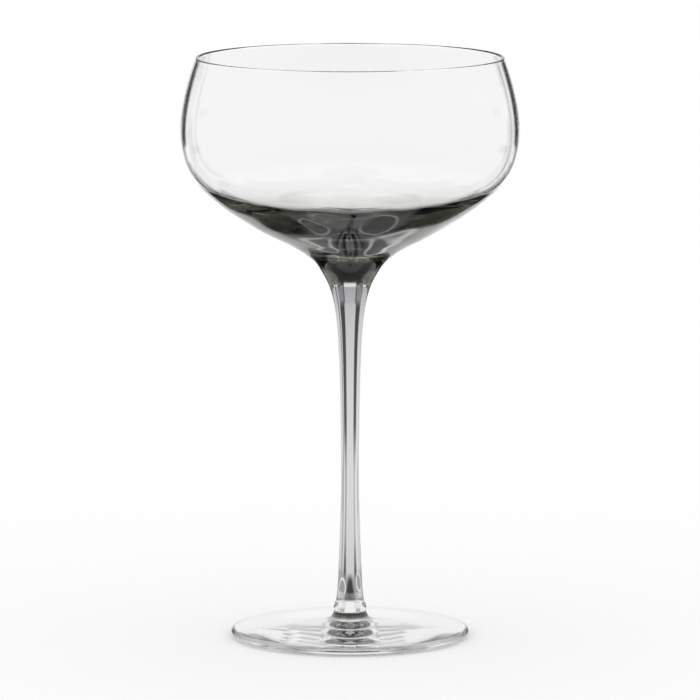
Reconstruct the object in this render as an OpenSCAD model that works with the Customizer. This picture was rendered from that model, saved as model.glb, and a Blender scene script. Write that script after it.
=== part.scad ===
// Stemmed coupe for cocktails, blown and drawn by hand.
// A clear bowl sits in a smoke-tinted gather. A thin clear wafer seals that gather to a solid tinted stem,
// and a second wafer seals the stem to a clear foot.
// Every piece is turned about the Z axis. The foot rests on Z = 0.

/* [Whole glass] */
// Height from the table to the rim
glass_h = 190; // [165:1:230]

/* [Bowl] */
// Height of the bowl with its tinted gather, from the wafer to the rim
bowl_h = 72; // [66:1:84]
// Outside diameter at the rim
rim_d = 100.2; // [90:0.2:106]
// Outside diameter where the bowl is widest
belly_d = 110.1; // [108:0.1:122]
// Height of the widest place above the wafer, as a share of the bowl's height
belly_rise_share = 0.6667; // [0.6:0.005:0.72]
// Wall thickness at the rim
rim_wall = 1.15; // [0.8:0.05:2]
// Wall thickness at the widest place
belly_wall = 1.4; // [1:0.05:2.4]
// Height of the cavity's lowest place above the wafer, as a share of the bowl's height
floor_rise_share = 0.185; // [0.16:0.005:0.25]
// Where the cavity's floor turns up into its wall, as a share of the widest radius
heel_share = 0.725; // [0.68:0.005:0.77]
// Thickness of the wall straight below that turn
heel_wall = 2.65; // [2:0.05:4]
// Steepness of the cavity at that turn, in degrees
heel_angle = 26; // [22:0.5:30]
// Thickness of the clear layer between the cavity and the tinted gather
clear_floor = 2.4; // [1.2:0.1:3.2]

/* [Smoke casing] */
// Diameter of the gather where it meets the wafer
neck_d = 16.1; // [14.4:0.1:20]
// Diameter at which the gather turns from neck to cone
turn_d = 42.8; // [36:0.2:50]
// Height of that turn above the wafer, as a share of the bowl's height
turn_rise_share = 0.1653; // [0.13:0.001:0.19]
// Steepness of the neck's side where it meets the wafer, in degrees
neck_angle = 57.6; // [50:0.2:75]
// Steepness of the cone at the turn, in degrees
turn_angle = 26.5; // [20:0.5:32]
// Share of the lower belly that the tinted gather covers
casing_reach_share = 0.62; // [0.5:0.01:0.7]

/* [Bowl wafer] */
// Thickness of the clear wafer between the gather and the stem
bowl_wafer_t = 1.8; // [1:0.1:3]

/* [Stem] */
// Diameter of the stem at its top
stem_top_d = 14.3; // [11:0.1:16]
// Diameter of the stem at its waist
stem_waist_d = 5.85; // [5:0.05:8]
// Diameter of the stem at its lower end
stem_foot_d = 9.3; // [8:0.1:10.4]

/* [Foot wafer] */
// Thickness of the clear wafer between the stem and the foot
foot_wafer_t = 2.8; // [1.5:0.1:4]
// How far that wafer's side bulges
foot_wafer_bulge = 0.3; // [0:0.05:0.8]

/* [Foot] */
// Diameter of the foot
foot_d = 77.8; // [66:0.2:90]
// Height of the boss in the middle of the foot
foot_h = 8.5; // [7.6:0.1:11]
// Diameter of the boss at its top
boss_d = 10.6; // [10.4:0.1:12]
// Diameter at which the boss runs out into the disc
boss_root_d = 18; // [15:0.5:26]
// Thickness of the disc where the boss runs out into it
disc_t = 5.3; // [4.4:0.1:6.4]
// Thickness of the foot's round edge
edge_t = 2.8; // [2:0.1:3.6]
// Width of the flat ring that the glass stands on
rest_ring_w = 6.5; // [3:0.5:12]
// Height of the shallow hollow under the foot
foot_hollow_h = 1.2; // [0.4:0.1:2]

/* [Hidden] */

// Steps along each curve, and round each piece
curve_steps = 12;
seam_steps = 30;
$fn = 96;

// Heights of the seams between the pieces
stem_foot_z = foot_h + foot_wafer_t;
bowl_base_z = glass_h - bowl_h;
stem_top_z = bowl_base_z - bowl_wafer_t;
stem_h = stem_top_z - stem_foot_z;

// Places on the bowl, each as [radius, height]
neck_pt = [neck_d / 2, bowl_base_z];
turn_pt = [turn_d / 2, bowl_base_z + turn_rise_share * bowl_h];
belly_pt = [belly_d / 2, bowl_base_z + belly_rise_share * bowl_h];
lip_r = rim_wall / 2;
rim_pt = [rim_d / 2, glass_h - lip_r];
cavity_belly_pt = belly_pt - [belly_wall, 0];
cavity_rim_pt = rim_pt - [rim_wall, 0];
floor_pt = [0, bowl_base_z + floor_rise_share * bowl_h];

// Lean of the wall at the rim from upright, in degrees
rim_lean = 19;

// Lengths of the curves' handles, each as a share of its curve's chord
neck_start_share = 0.21;
neck_end_share = 0.66;
cone_start_share = 0.65;
cone_end_share = 0.263;
shoulder_start_share = 0.33;
shoulder_end_share = 0.25;
floor_middle_share = 0.32;
floor_heel_share = 0.3;
side_heel_share = 0.373;
side_belly_share = 0.438;

// The clear layer is never more than this share of the wall, until it takes all of it at the gather's edge
clear_most_share = 0.8;
clear_edge_power = 9;

// The stem's upper flare adds a soft term to a sharp one, and so does its lower flare
waist_height_share = 0.37;
upper_soft_share = 0.42;
upper_soft_power = 2.3;
upper_sharp_power = 9.7;
lower_soft_share = 0.8;
lower_soft_power = 1.5;
lower_sharp_power = 20;
stem_steps = 40;

// Handles of the foot's curves, each as a share of its curve's chord
disc_outer_share = 0.4;
disc_inner_share = 0.4;
boss_root_share = 0.45;
boss_top_share = 0.45;
hollow_share = 0.4;

// Slope of the disc's top beside the boss, in degrees
disc_slope = 6;

// Unit direction at an angle from the radius, in degrees
function way(angle) = [cos(angle), sin(angle)];

// One point of a cubic curve
function cubic(p, t) = pow(1 - t, 3) * p[0] + 3 * pow(1 - t, 2) * t * p[1]
    + 3 * (1 - t) * pow(t, 2) * p[2] + pow(t, 3) * p[3];

// Where a rising cubic curve comes to a value of its radius (axis 0) or height (axis 1), found by halving
function reach(p, axis, value, low = 0, high = 1, steps = 30) = let (half = (low + high) / 2)
    steps == 0 ? half : cubic(p, half)[axis] < value ? reach(p, axis, value, half, high, steps - 1)
    : reach(p, axis, value, low, half, steps - 1);

// Points of a stretch of a cubic curve
function run(p, from = 0, to = 1, steps = curve_steps) =
    [for (i = [0:steps]) cubic(p, from + (to - from) * i / steps)];

// The four points of a cubic curve from its ends, its end directions and its handles' shares of the chord
function handles(a, way_a, share_a, b, way_b, share_b) = let (chord = norm(b - a))
    [a, a + way_a * share_a * chord, b - way_b * share_b * chord, b];

// A path backwards, and a path without its first point
function back(path) = [for (i = [len(path) - 1:-1:0]) path[i]];
function after(path) = [for (i = [1:len(path) - 1]) path[i]];

// Points of an arc about a centre
function arc(centre, r, from, to, steps = curve_steps) =
    [for (i = [0:steps]) centre + r * way(from + (to - from) * i / steps)];

// The outside of the neck, of the cone up to the widest place, and of the shoulder up to the rim
neck_curve = handles(neck_pt, way(neck_angle), neck_start_share, turn_pt, way(turn_angle), neck_end_share);
cone_curve = handles(turn_pt, way(turn_angle), cone_start_share, belly_pt, way(90), cone_end_share);
shoulder_curve = handles(belly_pt, way(90), shoulder_start_share,
    rim_pt, way(90 + rim_lean), shoulder_end_share);

// Where a curve is at a radius, and the outside's height there
function height_at(p, r) = cubic(p, reach(p, 0, r))[1];
function outside_z(r) = r < neck_pt[0] ? bowl_base_z
    : height_at(r < turn_pt[0] ? neck_curve : cone_curve, r);

// The cavity's wall from the rim to the widest place and on to its heel, and the floor inside that heel
heel_r = heel_share * belly_pt[0];
heel_pt = [heel_r, outside_z(heel_r) + heel_wall];
cavity_shoulder_curve = handles(cavity_belly_pt, way(90), shoulder_start_share,
    cavity_rim_pt, way(90 + rim_lean), shoulder_end_share);
cavity_side_curve = handles(heel_pt, way(heel_angle), side_heel_share,
    cavity_belly_pt, way(90), side_belly_share);
cavity_floor_curve = handles(floor_pt, way(0), floor_middle_share,
    heel_pt, way(heel_angle), floor_heel_share);
function cavity_z(r) = height_at(r < heel_r ? cavity_floor_curve : cavity_side_curve, r);

// The seam between the clear wall and the tinted gather, from the middle out to the gather's upper edge
casing_edge_r = cubic(cone_curve, casing_reach_share)[0];
function seam_pt(share) = let (
    r = share * casing_edge_r, wall = cavity_z(r) - outside_z(r),
    clear = min(clear_floor, clear_most_share * wall), edge = pow(share, clear_edge_power))
    [r, cavity_z(r) - clear * (1 - edge) - wall * edge];
seam_path = [for (i = [0:seam_steps]) seam_pt(i / seam_steps)];

// The stem's radius at a height above its lower end
function flare(u, soft_share, soft, sharp) = soft_share * pow(u, soft) + (1 - soft_share) * pow(u, sharp);
function stem_r(z) = let (waist_z = waist_height_share * stem_h, waist_r = stem_waist_d / 2) z > waist_z
    ? waist_r + (stem_top_d / 2 - waist_r)
        * flare((z - waist_z) / (stem_h - waist_z), upper_soft_share, upper_soft_power, upper_sharp_power)
    : waist_r + (stem_foot_d / 2 - waist_r)
        * flare((waist_z - z) / waist_z, lower_soft_share, lower_soft_power, lower_sharp_power);

// The foot's outline: the hollow, the round edge, the top of the disc and the boss
edge_r = edge_t / 2;
rest_out_r = foot_d / 2 - edge_r;
rest_in_r = rest_out_r - rest_ring_w;
boss_root_pt = [boss_root_d / 2, disc_t];
hollow_curve = handles([0, foot_hollow_h], way(0), hollow_share, [rest_in_r, 0], way(0), hollow_share);
disc_curve = handles([rest_out_r, edge_t], way(180), disc_outer_share,
    boss_root_pt, way(180 - disc_slope), disc_inner_share);
boss_curve = handles(boss_root_pt, way(180 - disc_slope), boss_root_share,
    [boss_d / 2, foot_h], way(90), boss_top_share);

// Turns an outline of [radius, height] points about the Z axis
module turned(outline) {
    rotate_extrude() polygon(outline);
}

// Clear blown wall, from its fire-polished lip to the thick floor that the gather covers
module bowl() {
    lip = arc(rim_pt - [lip_r, 0], lip_r, 0, 180);
    color("aliceblue", 0.45) turned(concat(
        seam_path, after(run(cone_curve, casing_reach_share, 1)), after(run(shoulder_curve)),
        after(lip), after(back(run(cavity_shoulder_curve))), after(back(run(cavity_side_curve))),
        after(back(run(cavity_floor_curve)))));
}

// Smoke-tinted gather round the lower bowl, thick in the middle and thinning out up the wall
module smoke_casing() {
    color("darkslategray", 0.75) turned(concat(
        [[0, bowl_base_z]], run(neck_curve), after(run(cone_curve, 0, casing_reach_share)),
        after(back(seam_path))));
}

// Clear wafer that seals the gather to the stem
module bowl_wafer() {
    color("ivory", 0.7) turned([
        [0, stem_top_z], [stem_top_d / 2, stem_top_z], [neck_d / 2, bowl_base_z], [0, bowl_base_z]]);
}

// Solid drawn stem of smoke-tinted glass
module stem() {
    side = [for (i = [0:stem_steps]) let (z = stem_h * i / stem_steps) [stem_r(z), stem_foot_z + z]];
    color("slategray", 0.8) turned(concat([[0, stem_foot_z]], side, [[0, stem_top_z]]));
}

// Clear wafer that seals the stem to the foot
module foot_wafer() {
    side = [for (i = [0:curve_steps]) let (u = i / curve_steps, bulge = foot_wafer_bulge * sin(180 * u))
        [(1 - u) * boss_d / 2 + u * stem_foot_d / 2 + bulge, foot_h + foot_wafer_t * u]];
    color("ivory", 0.7) turned(concat([[0, foot_h]], side, [[0, stem_foot_z]]));
}

// Clear foot: a round-edged disc with a boss on top and a shallow hollow underneath
module foot() {
    edge = arc([rest_out_r, edge_r], edge_r, -90, 90);
    color("aliceblue", 0.45) turned(concat(
        run(hollow_curve), edge, after(run(disc_curve)), after(run(boss_curve)), [[0, foot_h]]));
}

bowl();
smoke_casing();
bowl_wafer();
stem();
foot_wafer();
foot();
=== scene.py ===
# Stemmed coupe in clear and smoke glass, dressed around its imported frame
import math

import bpy
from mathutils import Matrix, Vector


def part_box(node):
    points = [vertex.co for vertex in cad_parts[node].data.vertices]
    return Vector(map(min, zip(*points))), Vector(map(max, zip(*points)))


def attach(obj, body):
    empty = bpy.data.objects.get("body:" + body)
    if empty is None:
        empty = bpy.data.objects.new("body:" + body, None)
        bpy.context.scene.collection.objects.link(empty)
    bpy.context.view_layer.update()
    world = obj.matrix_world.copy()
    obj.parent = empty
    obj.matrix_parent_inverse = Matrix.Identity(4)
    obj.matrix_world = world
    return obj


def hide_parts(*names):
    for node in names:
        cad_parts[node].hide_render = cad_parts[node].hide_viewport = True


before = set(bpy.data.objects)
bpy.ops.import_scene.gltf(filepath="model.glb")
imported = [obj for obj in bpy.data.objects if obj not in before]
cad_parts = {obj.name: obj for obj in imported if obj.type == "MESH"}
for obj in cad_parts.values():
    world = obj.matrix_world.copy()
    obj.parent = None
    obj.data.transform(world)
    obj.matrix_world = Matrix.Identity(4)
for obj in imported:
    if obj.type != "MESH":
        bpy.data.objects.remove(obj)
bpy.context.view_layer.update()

mm = 0.001
seamGap = 0.004   # mm between two fused pieces, so that neither face hides the other
sameSpot = 0.02   # mm within which the end of one stretch and the start of the next are one point


# Heights and widths that the frame gives, in millimetres

def bottomOf(node):
    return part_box(node)[0] / mm


def topOf(node):
    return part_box(node)[1] / mm


footTop = topOf("foot").z
footRadius = topOf("foot").y
stemBase = bottomOf("stem").z
stemTop = topOf("stem").z
bowlBase = bottomOf("smoke_casing").z
bellyRadius = topOf("bowl").y
rimHeight = topOf("bowl").z
print("frame measured: foot", round(footRadius * 2, 1), "mm, belly", round(bellyRadius * 2, 1), "mm")


# Curves of a turned outline, each point as (radius, height) in millimetres

def way(angle):
    return Vector((math.cos(math.radians(angle)), math.sin(math.radians(angle))))


def curve(start, startWay, end, endWay, handles):
    chord = (end - start).length
    return [start, start + startWay * handles[0] * chord, end - endWay * handles[1] * chord, end]


def cubic(p, t):
    s = 1 - t
    return p[0] * s ** 3 + p[1] * 3 * s * s * t + p[2] * 3 * s * t * t + p[3] * t ** 3


def heightAt(p, radius):
    halvings = 40
    near, far = 0.0, 1.0
    for _ in range(halvings):
        middle = (near + far) / 2
        near, far = (middle, far) if cubic(p, middle).x < radius else (near, middle)
    return cubic(p, (near + far) / 2).y


def run(p, steps, start=0.0, end=1.0):
    return [cubic(p, start + (end - start) * i / steps) for i in range(steps + 1)]


def arc(centre, radius, start, end, steps):
    return [centre + way(start + (end - start) * i / steps) * radius for i in range(steps + 1)]


def back(points):
    return points[::-1]


# An outline keeps its piece on its left. Each point's flag says whether the stretch after it is fused.

def stretch(points, fused=False):
    return [(p.x, p.y, fused) for p in points]


def joined(*stretches):
    outline = []
    for points in stretches:
        if outline and math.dist(outline[-1][:2], points[0][:2]) < sameSpot:
            outline[-1] = (*outline[-1][:2], points[0][2])
            points = points[1:]
        outline += points
    return outline


outward = way(0)
inward = way(180)
upward = way(90)

# The clear bowl, in millimetres and degrees. A rise is a share of the bowl's height above the neck.
bowl = {
    "rimRadius": 50.1,
    "rimWall": 1.15,
    "rimLean": 19.0,
    "bellyRise": 0.6667,
    "bellyWall": 1.4,
    "floorRise": 0.185,
    "heelShare": 0.725,   # of the belly's radius
    "heelWall": 2.65,
    "heelAngle": 26.0,
    "shoulderHandles": (0.33, 0.25),
    "floorHandles": (0.32, 0.3),
    "sideHandles": (0.373, 0.438),
    "steps": {"cone": 24, "shoulder": 36, "lip": 14, "side": 48, "floor": 48},
}

# The smoke gather round it, and the clear layer left between the gather and the cavity
gather = {
    "neckRadius": 8.05,
    "neckAngle": 57.6,
    "turnRadius": 21.4,
    "turnRise": 0.1653,
    "turnAngle": 26.5,
    "neckHandles": (0.21, 0.66),
    "coneHandles": (0.65, 0.263),
    "reach": 0.62,        # how far up the cone it feathers out
    "clearLayer": 2.4,
    "clearMost": 0.8,     # the most of the wall that the clear layer takes
    "featherPower": 9,
    "steps": {"neck": 24, "cone": 56, "seam": 90},
}


def rise(share):
    return bowlBase + share * (rimHeight - bowlBase)


neckPoint = Vector((gather["neckRadius"], bowlBase))
turnPoint = Vector((gather["turnRadius"], rise(gather["turnRise"])))
turnWay = way(gather["turnAngle"])
bellyPoint = Vector((bellyRadius, rise(bowl["bellyRise"])))
lipRadius = bowl["rimWall"] / 2
rimPoint = Vector((bowl["rimRadius"], rimHeight - lipRadius))
rimWay = way(90 + bowl["rimLean"])
neckCurve = curve(neckPoint, way(gather["neckAngle"]), turnPoint, turnWay, gather["neckHandles"])
coneCurve = curve(turnPoint, turnWay, bellyPoint, upward, gather["coneHandles"])
shoulderCurve = curve(bellyPoint, upward, rimPoint, rimWay, bowl["shoulderHandles"])

floorPoint = Vector((0, rise(bowl["floorRise"])))
heelRadius = bowl["heelShare"] * bellyRadius
heelPoint = Vector((heelRadius, heightAt(coneCurve, heelRadius) + bowl["heelWall"]))
heelWay = way(bowl["heelAngle"])
cavityBelly = bellyPoint - Vector((bowl["bellyWall"], 0))
cavityRim = rimPoint - Vector((bowl["rimWall"], 0))
cavityFloor = curve(floorPoint, outward, heelPoint, heelWay, bowl["floorHandles"])
cavitySide = curve(heelPoint, heelWay, cavityBelly, upward, bowl["sideHandles"])
cavityShoulder = curve(cavityBelly, upward, cavityRim, rimWay, bowl["shoulderHandles"])
featherRadius = cubic(coneCurve, gather["reach"]).x


def outsideHeight(radius):
    if radius < neckPoint.x:
        return bowlBase
    return heightAt(neckCurve if radius < turnPoint.x else coneCurve, radius)


def seamPoint(share):
    radius = share * featherRadius
    cavity = heightAt(cavityFloor if radius < heelRadius else cavitySide, radius)
    wall = cavity - outsideHeight(radius)
    clear = min(gather["clearLayer"], gather["clearMost"] * wall)
    feather = share ** gather["featherPower"]
    return Vector((radius, cavity - clear * (1 - feather) - wall * feather))


seamSteps = gather["steps"]["seam"]
seamPath = [seamPoint(i / seamSteps) for i in range(seamSteps + 1)]


def bowlOutline():
    steps = bowl["steps"]
    seam = [p + Vector((0, seamGap * (1 - i / seamSteps))) for i, p in enumerate(seamPath)]
    lip = arc(rimPoint - Vector((lipRadius, 0)), lipRadius, 0, 180, steps["lip"])
    return joined(
        stretch(seam, True),
        stretch(run(coneCurve, steps["cone"], gather["reach"])),
        stretch(run(shoulderCurve, steps["shoulder"])),
        stretch(lip),
        stretch(back(run(cavityShoulder, steps["shoulder"]))),
        stretch(back(run(cavitySide, steps["side"]))),
        stretch(back(run(cavityFloor, steps["floor"]))))


def gatherOutline():
    steps = gather["steps"]
    base = bowlBase + seamGap
    return joined(
        stretch([Vector((0, base)), Vector((gather["neckRadius"], base))], True),
        stretch(run(neckCurve, steps["neck"])),
        stretch(run(coneCurve, steps["cone"], end=gather["reach"])),
        stretch(back(seamPath), True))


# The drawn stem: its radius swells from the waist to each end by a soft power and a sharp one
stem = {
    "topRadius": 7.15,
    "waistRadius": 2.925,
    "footRadius": 4.65,
    "waistHeight": 0.37,  # a share of the stem's length
    "upperSoft": (0.42, 2.3),
    "upperSharp": 9.7,
    "lowerSoft": (0.8, 1.5),
    "lowerSharp": 20.0,
    "steps": 160,
}


def flare(u, soft, sharp):
    return soft[0] * u ** soft[1] + (1 - soft[0]) * u ** sharp


def stemRadius(t):
    waist, waistRadius = stem["waistHeight"], stem["waistRadius"]
    if t > waist:
        swell = flare((t - waist) / (1 - waist), stem["upperSoft"], stem["upperSharp"])
        return waistRadius + (stem["topRadius"] - waistRadius) * swell
    swell = flare((waist - t) / waist, stem["lowerSoft"], stem["lowerSharp"])
    return waistRadius + (stem["footRadius"] - waistRadius) * swell


def stemOutline():
    base, top, steps = stemBase + seamGap, stemTop - seamGap, stem["steps"]
    side = [Vector((stemRadius(i / steps), base + (top - base) * i / steps)) for i in range(steps + 1)]
    return joined(
        stretch([Vector((0, base)), side[0]], True),
        stretch(side),
        stretch([side[-1], Vector((0, top))], True))


# The foot: a disc with a round edge, a low boss, and a shallow hollow inside its resting ring
foot = {
    "bossRadius": 5.3,
    "bossRoot": 9.0,
    "discHeight": 5.3,
    "discSlope": 6.0,
    "edge": 2.8,
    "restWidth": 6.5,
    "hollow": 1.2,
    "discHandles": (0.4, 0.4),
    "bossHandles": (0.45, 0.45),
    "steps": {"hollow": 30, "edge": 24, "disc": 40, "boss": 30},
}


def footOutline():
    steps = foot["steps"]
    edgeRadius = foot["edge"] / 2
    restOut = footRadius - edgeRadius
    restIn = restOut - foot["restWidth"]
    root = Vector((foot["bossRoot"], foot["discHeight"]))
    slope = way(180 - foot["discSlope"])
    crown = Vector((foot["bossRadius"], footTop - seamGap))
    hollow = curve(Vector((0, foot["hollow"])), outward, Vector((restIn, 0)), outward, foot["discHandles"])
    disc = curve(Vector((restOut, foot["edge"])), inward, root, slope, foot["discHandles"])
    boss = curve(root, slope, crown, upward, foot["bossHandles"])
    return joined(
        stretch(run(hollow, steps["hollow"])),
        stretch(arc(Vector((restOut, edgeRadius)), edgeRadius, -90, 90, steps["edge"])),
        stretch(run(disc, steps["disc"])),
        stretch(run(boss, steps["boss"])),
        stretch([crown, Vector((0, crown.y))], True))


# A thin clear wafer at each end of the stem: the upper one is a plain cone, the lower one bulges a little
lowerWafer = {"bulge": 0.3, "steps": 16}


def upperWaferOutline():
    below, above = Vector((stem["topRadius"], stemTop)), neckPoint
    return joined(
        stretch([Vector((0, stemTop)), below], True),
        stretch([below, above]),
        stretch([above, Vector((0, bowlBase))], True))


def lowerWaferOutline():
    side = []
    for i in range(lowerWafer["steps"] + 1):
        u = i / lowerWafer["steps"]
        bulge = lowerWafer["bulge"] * math.sin(math.pi * u)
        radius = (1 - u) * foot["bossRadius"] + u * stem["footRadius"] + bulge
        side.append(Vector((radius, footTop + (stemBase - footTop) * u)))
    return joined(
        stretch([Vector((0, footTop)), side[0]], True),
        stretch(side),
        stretch([side[-1], Vector((0, stemBase))], True))


# Dark glass pieces inside the glass, where the glass renders darker: each profile runs as (radius, height
# above its base)
darkInserts = {
    # The pad is painted shade: a dark disc in the clear foot for the black ring that the boss shows by
    # reflection
    "shade_pad": {    # flat, in the foot's boss
        "base": 0.0,
        "profile": [(0, 5.65), (6.85, 5.65), (6.05, 6.2), (5.55, 6.8), (0, 6.8)],
    },
    "dark_drop": {   # in the stem's lower end
        "base": stemBase,
        "profile": [(0, 0.1), (1.3, 0.1), (1.1, 2.5), (0.6, 6.0), (0, 10.0)],
    },
    "dark_plug": {   # in the bowl's neck
        "base": bowlBase,
        "profile": [(0, 0.1), (2.0, 0.1), (2.6, 1.4), (3.6, 3.6), (5.4, 6.0), (7.4, 7.8), (5.0, 8.6),
                    (0, 8.8)],
    },
}


def denseOutline(dense):
    return stretch([Vector((radius, dense["base"] + height)) for radius, height in dense["profile"]], True)


print("outlines drawn")


# Short forms for the nodes that the lathe, the studio and the table top share

def addNode(tree, kind, **settings):
    node = tree.nodes.new(kind)
    for name, value in settings.items():
        setattr(node, name, value)
    return node


def fill(tree, slots, values):
    for slot, value in zip(slots, values):
        if isinstance(value, (int, float)):
            slot.default_value = value
        else:
            tree.links.new(value, slot)


def calc(tree, operation, *values):
    node = addNode(tree, "ShaderNodeMath", operation=operation)
    fill(tree, node.inputs, values)
    return node.outputs[0]


def ramp(tree, amount, start, end, first, last):
    node = addNode(tree, "ShaderNodeMapRange", interpolation_type="SMOOTHSTEP")
    fill(tree, node.inputs, (amount, start, end, first, last))
    return node.outputs[0]


def within(tree, distance, half, soft):
    return ramp(tree, distance, half - soft / 2, half + soft / 2, 1.0, 0.0)


def between(tree, amount, lowest, highest, soft):
    away = calc(tree, "ABSOLUTE", calc(tree, "SUBTRACT", amount, (lowest + highest) / 2))
    return within(tree, away, (highest - lowest) / 2, soft)


# A turned piece is a Geometry Nodes lathe: a grid with one row for each point of the outline. Hand-worked
# glass ripples a little, here between two heights in metres. The ripple is one field in space, so that
# fused faces stay together.
turning = {
    "sectors": 256,
    "crease": 35.0,       # degrees past which an edge stays sharp
    "mergeWithin": 2e-7,  # metres
    "ripple": 0.0008,
    "rippleScale": 75.0,
    "rippleSeed": 3.0,
    "rippleStarts": (0.1185, 0.125),
    "rippleEnds": (0.142, 0.151),
}


def latheTree():
    tree = bpy.data.node_groups.new("glassLathe", "GeometryNodeTree")
    face = tree.interface
    for name, kind in (("Outline", "Geometry"), ("Sectors", "Int"), ("Ripple", "Float"), ("Seed", "Float"),
                       ("Glass", "Material")):
        face.new_socket(name, in_out="INPUT", socket_type="NodeSocket" + kind)
    face.new_socket("Piece", in_out="OUTPUT", socket_type="NodeSocketGeometry")
    link = tree.links.new
    given = addNode(tree, "NodeGroupInput").outputs

    size = addNode(tree, "GeometryNodeAttributeDomainSize", component="MESH")
    link(given["Outline"], size.inputs[0])
    columns = calc(tree, "ADD", given["Sectors"], 1)
    grid = addNode(tree, "GeometryNodeMeshGrid")
    link(size.outputs["Point Count"], grid.inputs["Vertices X"])
    link(columns, grid.inputs["Vertices Y"])

    index = addNode(tree, "GeometryNodeInputIndex").outputs[0]
    row = calc(tree, "FLOOR", calc(tree, "DIVIDE", index, columns))
    column = calc(tree, "SUBTRACT", index, calc(tree, "MULTIPLY", row, columns))
    turn = calc(tree, "MULTIPLY", calc(tree, "DIVIDE", column, given["Sectors"]), -2 * math.pi)

    place = addNode(tree, "GeometryNodeSampleIndex", data_type="FLOAT_VECTOR", domain="POINT")
    link(given["Outline"], place.inputs["Geometry"])
    link(addNode(tree, "GeometryNodeInputPosition").outputs[0], place.inputs["Value"])
    link(row, place.inputs["Index"])
    split = addNode(tree, "ShaderNodeSeparateXYZ")
    link(place.outputs[0], split.inputs[0])
    radius, height = split.outputs[0], split.outputs[2]
    smooth = addNode(tree, "ShaderNodeCombineXYZ")
    fill(tree, smooth.inputs, (calc(tree, "MULTIPLY", radius, calc(tree, "COSINE", turn)),
                               calc(tree, "MULTIPLY", radius, calc(tree, "SINE", turn)), height))

    noise = addNode(tree, "ShaderNodeTexNoise", noise_dimensions="4D")
    noise.inputs["Scale"].default_value = turning["rippleScale"]
    noise.inputs["Detail"].default_value = 0.0
    link(smooth.outputs[0], noise.inputs["Vector"])
    link(given["Seed"], noise.inputs["W"])
    drift = addNode(tree, "ShaderNodeVectorMath", operation="SUBTRACT")
    link(noise.outputs["Color"], drift.inputs[0])
    drift.inputs[1].default_value = (0.5, 0.5, 0.5)  # the noise's own middle
    inReach = calc(tree, "MULTIPLY", ramp(tree, height, *turning["rippleStarts"], 0.0, 1.0),
                   ramp(tree, height, *turning["rippleEnds"], 1.0, 0.0))
    offset = addNode(tree, "ShaderNodeVectorMath", operation="SCALE")
    link(drift.outputs[0], offset.inputs[0])
    link(calc(tree, "MULTIPLY", inReach, given["Ripple"]), offset.inputs["Scale"])
    worked = addNode(tree, "ShaderNodeVectorMath", operation="ADD")
    fill(tree, worked.inputs, (smooth.outputs[0], offset.outputs[0]))
    moved = addNode(tree, "GeometryNodeSetPosition")
    link(grid.outputs["Mesh"], moved.inputs["Geometry"])
    link(worked.outputs[0], moved.inputs["Position"])

    # A face takes the flag of the stretch of outline that it came from
    faceIndex = addNode(tree, "GeometryNodeInputIndex").outputs[0]
    faceRow = calc(tree, "FLOOR", calc(tree, "DIVIDE", faceIndex, given["Sectors"]))
    flag = addNode(tree, "GeometryNodeInputNamedAttribute", data_type="FLOAT")
    flag.inputs["Name"].default_value = "open"
    flagAt = addNode(tree, "GeometryNodeSampleIndex", data_type="FLOAT", domain="POINT")
    link(given["Outline"], flagAt.inputs["Geometry"])
    link(flag.outputs[0], flagAt.inputs["Value"])
    link(faceRow, flagAt.inputs["Index"])
    marked = addNode(tree, "GeometryNodeStoreNamedAttribute", data_type="FLOAT", domain="FACE")
    marked.inputs["Name"].default_value = "open"
    link(moved.outputs[0], marked.inputs["Geometry"])
    link(flagAt.outputs[0], marked.inputs["Value"])

    merged = addNode(tree, "GeometryNodeMergeByDistance")
    merged.inputs["Distance"].default_value = turning["mergeWithin"]
    link(marked.outputs[0], merged.inputs["Geometry"])
    real = addNode(tree, "GeometryNodeRealizeInstances")
    link(merged.outputs[0], real.inputs[0])
    painted = addNode(tree, "GeometryNodeSetMaterial")
    link(real.outputs[0], painted.inputs["Geometry"])
    link(given["Glass"], painted.inputs["Material"])
    link(painted.outputs[0], addNode(tree, "NodeGroupOutput").inputs[0])
    return tree


lathe = latheTree()


def turned(name, outline, material):
    mesh = bpy.data.meshes.new(name + "Outline")
    mesh.from_pydata([(radius * mm, 0, height * mm) for radius, height, _ in outline],
                     [(i, i + 1) for i in range(len(outline) - 1)], [])
    flags = mesh.attributes.new("open", "FLOAT", "POINT")
    flags.data.foreach_set("value", [0.0 if fused else 1.0 for _, _, fused in outline])
    holder = bpy.data.objects.new(name + "Outline", mesh)
    bpy.context.scene.collection.objects.link(holder)
    modifier = holder.modifiers.new("lathe", "NODES")
    modifier.node_group = lathe
    values = {"Sectors": turning["sectors"], "Ripple": turning["ripple"], "Seed": turning["rippleSeed"],
              "Glass": material}
    for item in lathe.interface.items_tree:
        if item.item_type == "SOCKET" and item.name in values:
            modifier[item.identifier] = values[item.name]
    graph = bpy.context.evaluated_depsgraph_get()
    made = bpy.data.meshes.new_from_object(holder.evaluated_get(graph), depsgraph=graph)
    bpy.data.objects.remove(holder)
    made.name = name
    made.shade_smooth()
    made.set_sharp_from_angle(angle=math.radians(turning["crease"]))
    piece = bpy.data.objects.new(name, made)
    bpy.context.scene.collection.objects.link(piece)
    return piece


# Glass takes its colour in depth: what its tint lacks is taken from the light, and the density says how
# fast. Fused faces let light straight through.
glass = {
    "clearGlass": {"tint": (0.7, 0.75, 0.7), "density": 4.0},
    "smokeGlass": {"tint": (0.31, 0.32, 0.25), "density": 125.0},
    "stemGlass": {"tint": (0.42, 0.41, 0.44), "density": 100.0},
    "waferGlass": {"tint": (0.7, 0.72, 0.6), "density": 6.0},
    # darkGlass fills the dark pieces inside the glass; in the foot's pad it is painted shade
    "darkGlass": {"tint": (0.3, 0.3, 0.28), "density": 800.0},
}
glassIndex = 1.5


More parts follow.
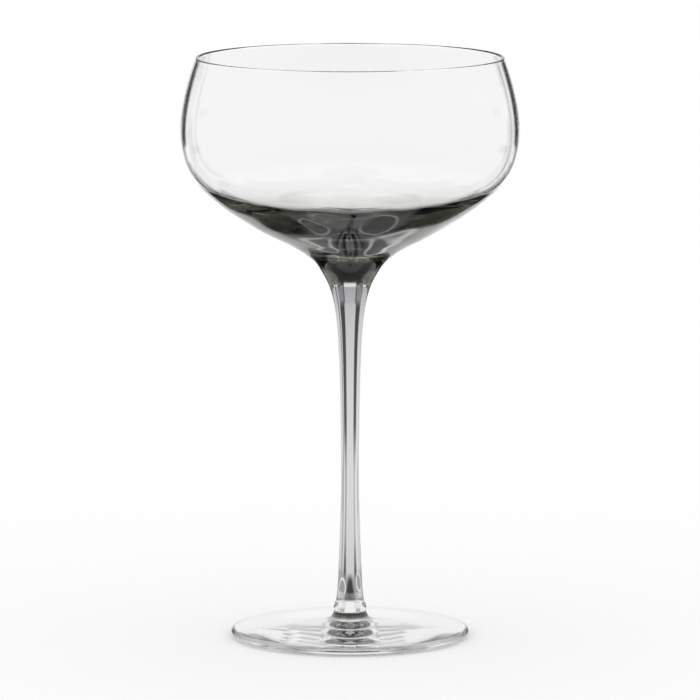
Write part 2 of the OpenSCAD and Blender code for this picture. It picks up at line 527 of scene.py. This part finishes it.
def glassMaterial(name):
    material = bpy.data.materials.new(name)
    material.use_nodes = True
    tree = material.node_tree
    shader = tree.nodes["Principled BSDF"]
    shader.inputs["Base Color"].default_value = (1, 1, 1, 1)
    shader.inputs["Roughness"].default_value = 0.0
    shader.inputs["IOR"].default_value = glassIndex
    shader.inputs["Transmission Weight"].default_value = 1.0
    openFaces = addNode(tree, "ShaderNodeAttribute", attribute_name="open")
    tree.links.new(openFaces.outputs["Fac"], shader.inputs["Alpha"])
    body = addNode(tree, "ShaderNodeVolumeAbsorption")
    body.inputs["Color"].default_value = (*glass[name]["tint"], 1)
    body.inputs["Density"].default_value = glass[name]["density"]
    tree.links.new(body.outputs[0], tree.nodes["Material Output"].inputs["Volume"])
    return material


mixed = {name: glassMaterial(name) for name in glass}
print("glass mixed")

# Each CAD node's piece: its name, its outline, its glass and the finish that it takes
dressed = {
    "bowl": ("clear_bowl", bowlOutline(), "clearGlass", "clear_glass"),
    "smoke_casing": ("smoke_gather", gatherOutline(), "smokeGlass", "smoke_glass"),
    "bowl_wafer": ("upper_wafer", upperWaferOutline(), "waferGlass", "wafer_glass"),
    "stem": ("drawn_stem", stemOutline(), "stemGlass", "smoke_glass"),
    "foot_wafer": ("lower_wafer", lowerWaferOutline(), "waferGlass", "wafer_glass"),
    "foot": ("clear_foot", footOutline(), "clearGlass", "clear_glass"),
}
for node, (name, outline, glassName, finish) in dressed.items():
    piece = turned(name, outline, mixed[glassName])
    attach(piece, "root")
    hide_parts(node)
# The dark pieces, in dark glass; the foot's pad among them is painted shade
for name, dense in darkInserts.items():
    piece = turned(name, denseOutline(dense), mixed["darkGlass"])
    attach(piece, "root")
print("pieces turned:", len(darkInserts) + len(dressed))

# A long lens two metres off, a little above the rim
view = {
    "lens": 319.73,
    "sensor": 36,
    "place": (0, -2.00457, 0.37677),
    "down": 8.0228,
    "reach": 50,
}
camera = bpy.data.objects.new("camera", bpy.data.cameras.new("camera"))
camera.data.lens = view["lens"]
camera.data.sensor_width = view["sensor"]
camera.data.clip_end = view["reach"]
camera.location = view["place"]
camera.rotation_euler = (math.radians(90 - view["down"]), 0, 0)
bpy.context.scene.collection.objects.link(camera)
bpy.context.scene.camera = camera


# The studio that the glass sees, by direction: soft boxes over a dark room, with flags that take light
# away. "across" runs in degrees to the right of straight behind the glass, "up" in degrees above the
# horizon, and "soft" is the width of each edge.
studio = {
    "dim": 0.03,
    "boxes": {
        "backdrop": {"across": (-15, 14), "up": (-34, 5), "soft": (3, 3), "level": 0.88},
        "tableGlow": {"across": (-30, 30), "up": (-34, -7), "soft": (3, 3), "level": 0.05},
        "nearLeft": {"across": (-15, -3), "up": (-64, -34), "soft": (4, 3), "level": 0.5},
        "nearRight": {"across": (3, 15), "up": (-64, -34), "soft": (4, 3), "level": 0.45},
        "highBack": {"across": (-12, 12), "up": (5, 72), "soft": (3, 3), "level": 0.8},
        "leftWing": {"across": (-29, -14), "up": (6, 25), "soft": (3, 6), "level": 0.4},
        "rightWing": {"across": (14, 30), "up": (6, 24), "soft": (3, 6), "level": 0.4},
        "leftFar": {"across": (-24, -14), "up": (-12.5, -8.5), "soft": (3, 1.5), "level": 0.55},
        "rightFar": {"across": (13, 24), "up": (-12.5, -8.5), "soft": (3, 1.5), "level": 0.45},
        "leftStreak": {"across": (-31, -24), "up": (-13.5, -8.5), "soft": (3, 1.5), "level": 0.9},
        "rightStreak": {"across": (24, 29), "up": (-13.5, -8.5), "soft": (3, 1.5), "level": 0.9},
        "around": {"across": (29, 330), "up": (-33, 42), "soft": (3, 3), "level": 0.88},
        "aroundLow": {"across": (40, 320), "up": (-62, -33), "soft": (4, 3), "level": 0.85},
        "ceiling": {"across": (40, 320), "up": (42, 78), "soft": (8, 3), "level": 0.8},
        "below": {"across": (-190, 190), "up": (-96, -67), "soft": (3, 6), "level": 0.7},
        "rightFlag": {"across": (33.5, 38.5), "up": (-30, 30), "soft": (2, 8), "level": -0.7},
        "leftStemFlag": {"across": (-55, -43), "up": (-12, -8.8), "soft": (3, 1), "level": -0.4},
        "rightStemFlag": {"across": (43, 55), "up": (-12, -8.8), "soft": (3, 1), "level": -0.4},
    },
    # Thin bright loops low behind the glass, which the gather shows as curved wisps
    "loops": {
        "left": {"at": (-8.5, -43), "half": (3.5, 7), "line": 0.35, "level": 1.0},
        "right": {"at": (9, -42), "half": (4.5, 8), "line": 0.3, "level": 1.4},
    },
}


def onLoop(tree, across, along, loop):
    squares = []
    for place, at, half in zip((across, along), loop["at"], loop["half"]):
        share = calc(tree, "DIVIDE", calc(tree, "SUBTRACT", place, at), half)
        squares.append(calc(tree, "POWER", calc(tree, "ABSOLUTE", share), 2.0))
    reach = calc(tree, "SQRT", calc(tree, "ADD", *squares))
    away = calc(tree, "ABSOLUTE", calc(tree, "SUBTRACT", reach, 1.0))
    return within(tree, away, loop["line"] / 2, loop["line"])


def lightUp(tree, level, lit, amount):
    return calc(tree, "ADD", calc(tree, "MULTIPLY", lit, amount), level)


def studioWorld():
    world = bpy.data.worlds.new("studio")
    bpy.context.scene.world = world
    world.use_nodes = True
    tree = world.node_tree
    tree.nodes.clear()
    split = addNode(tree, "ShaderNodeSeparateXYZ")
    tree.links.new(addNode(tree, "ShaderNodeTexCoord").outputs["Generated"], split.inputs[0])
    x, y, z = split.outputs
    azimuth = calc(tree, "MULTIPLY", calc(tree, "ARCTAN2", x, y), 180 / math.pi)
    elevation = calc(tree, "MULTIPLY", calc(tree, "ARCSINE", z), 180 / math.pi)

    level = studio["dim"]
    for box in studio["boxes"].values():
        (left, right), (softAcross, softUp) = box["across"], box["soft"]
        # The azimuth is counted from the box's own middle, so that a box can reach past the back
        toBack = 180 - (left + right) / 2
        fromMiddle = calc(tree, "FLOORED_MODULO", calc(tree, "ADD", azimuth, toBack), 360)
        away = calc(tree, "ABSOLUTE", calc(tree, "SUBTRACT", fromMiddle, 180))
        lit = calc(tree, "MULTIPLY", within(tree, away, (right - left) / 2, softAcross),
                   between(tree, elevation, *box["up"], softUp))
        level = lightUp(tree, level, lit, box["level"])
    for loop in studio["loops"].values():
        level = lightUp(tree, level, onLoop(tree, azimuth, elevation, loop), loop["level"])

    # The camera and the floor see plain white, and the glass sees the soft boxes
    rays = addNode(tree, "ShaderNodeLightPath").outputs
    byGlass = calc(tree, "MAXIMUM", rays["Is Glossy Ray"], rays["Is Transmission Ray"])
    level = calc(tree, "ADD", calc(tree, "MULTIPLY", level, byGlass), calc(tree, "SUBTRACT", 1.0, byGlass))
    background = addNode(tree, "ShaderNodeBackground")
    background.inputs["Color"].default_value = (1, 1, 1, 1)
    tree.links.new(level, background.inputs["Strength"])
    tree.links.new(background.outputs[0], addNode(tree, "ShaderNodeOutputWorld").inputs[0])


studioWorld()


def sheetOf(name, corners):
    mesh = bpy.data.meshes.new(name)
    mesh.from_pydata(corners, [], [list(range(len(corners)))])
    sheet = bpy.data.objects.new(name, mesh)
    bpy.context.scene.collection.objects.link(sheet)
    return sheet


# A pale floor, which the camera sees and which keeps the shadow
floorReach = 2.5


def paleFloor():
    corners = [(x * floorReach, y * floorReach, 0) for x, y in ((-1, -1), (1, -1), (1, 1), (-1, 1))]
    floor = sheetOf("floor", corners)
    floor.visible_transmission = False
    floor.visible_glossy = False
    paint = bpy.data.materials.new("floorPaint")
    paint.use_nodes = True
    shader = paint.node_tree.nodes["Principled BSDF"]
    shader.inputs["Base Color"].default_value = (1, 1, 1, 1)
    shader.inputs["Roughness"].default_value = 1.0
    shader.inputs["Specular IOR Level"].default_value = 0.0
    floor.data.materials.append(paint)


paleFloor()

# Round the foot, the glass sees a lit table top instead of the floor. It carries painted shadows, darker
# past the foot and in a stripe behind the stem, where the tinted glass would shade it, and two thin bright
# loops of painted caustic light for the gather to mirror. Sizes are in metres.
tableTop = {
    "radius": 0.1,
    "corners": 64,
    "drop": 0.0001,
    "level": 0.95,
    "fade": (0.086, 0.02),
    "pastFootShadow": {"from": 0.046, "soft": 0.014, "dark": 0.5},
    "stemShadow": {"across": 0.009, "soft": 0.006, "back": (0.05, 0.12), "softBack": 0.012, "dark": 0.85},
    # Painted caustic light: two thin bright loops on the table
    "loops": {
        "left": {"at": (-0.038, 0.056), "half": (0.014, 0.022), "line": 0.25, "level": 0.9},
        "right": {"at": (0.029, 0.05), "half": (0.016, 0.022), "line": 0.2, "level": 0.9},
    },
}


def tableLight(tree, x, y, fromStem):
    past, stripe = tableTop["pastFootShadow"], tableTop["stemShadow"]
    # Painted shadows on the table: past the foot, and in a stripe behind the stem
    beyond = calc(tree, "SUBTRACT", 1.0, within(tree, fromStem, past["from"], past["soft"]))
    aside = within(tree, calc(tree, "ABSOLUTE", x), stripe["across"], stripe["soft"])
    behind = calc(tree, "MULTIPLY", aside, between(tree, y, *stripe["back"], stripe["softBack"]))
    level = tableTop["level"]
    for shade, dark in ((beyond, past["dark"]), (behind, stripe["dark"])):
        kept = calc(tree, "SUBTRACT", 1.0, calc(tree, "MULTIPLY", shade, dark))
        level = calc(tree, "MULTIPLY", level, kept)
    # Painted caustic light: thin bright loops past the foot
    for loop in tableTop["loops"].values():
        lit = calc(tree, "MULTIPLY", onLoop(tree, x, y, loop), beyond)
        level = lightUp(tree, level, lit, loop["level"])
    return level


def litTable():
    corners = tableTop["corners"]
    ring = [way(i * 360 / corners) * tableTop["radius"] for i in range(corners)]
    table = sheetOf("tableTop", [(p.x, p.y, -tableTop["drop"]) for p in ring])
    for ray in ("camera", "diffuse", "shadow"):
        setattr(table, "visible_" + ray, False)
    glowing = bpy.data.materials.new("tableGlow")
    glowing.use_nodes = True
    tree = glowing.node_tree
    tree.nodes.clear()
    place = addNode(tree, "ShaderNodeTexCoord").outputs["Object"]
    split = addNode(tree, "ShaderNodeSeparateXYZ")
    tree.links.new(place, split.inputs[0])
    length = addNode(tree, "ShaderNodeVectorMath", operation="LENGTH")
    tree.links.new(place, length.inputs[0])
    fromStem = length.outputs["Value"]

    glow = addNode(tree, "ShaderNodeEmission")
    tree.links.new(tableLight(tree, split.outputs[0], split.outputs[1], fromStem), glow.inputs["Strength"])
    clear = addNode(tree, "ShaderNodeBsdfTransparent")
    blend = addNode(tree, "ShaderNodeMixShader")
    kept = within(tree, fromStem, *tableTop["fade"])
    fill(tree, blend.inputs, (kept, clear.outputs[0], glow.outputs[0]))
    tree.links.new(blend.outputs[0], addNode(tree, "ShaderNodeOutputMaterial").inputs[0])
    table.data.materials.append(glowing)


litTable()
print("studio set")

# Light meets many faces on its way through the glass
bounces = {
    "max_bounces": 40,
    "transmission_bounces": 40,
    "glossy_bounces": 16,
    "transparent_max_bounces": 64,
}
for setting, most in bounces.items():
    setattr(bpy.context.scene.cycles, setting, most)
bpy.context.scene.view_settings.view_transform = "Standard"
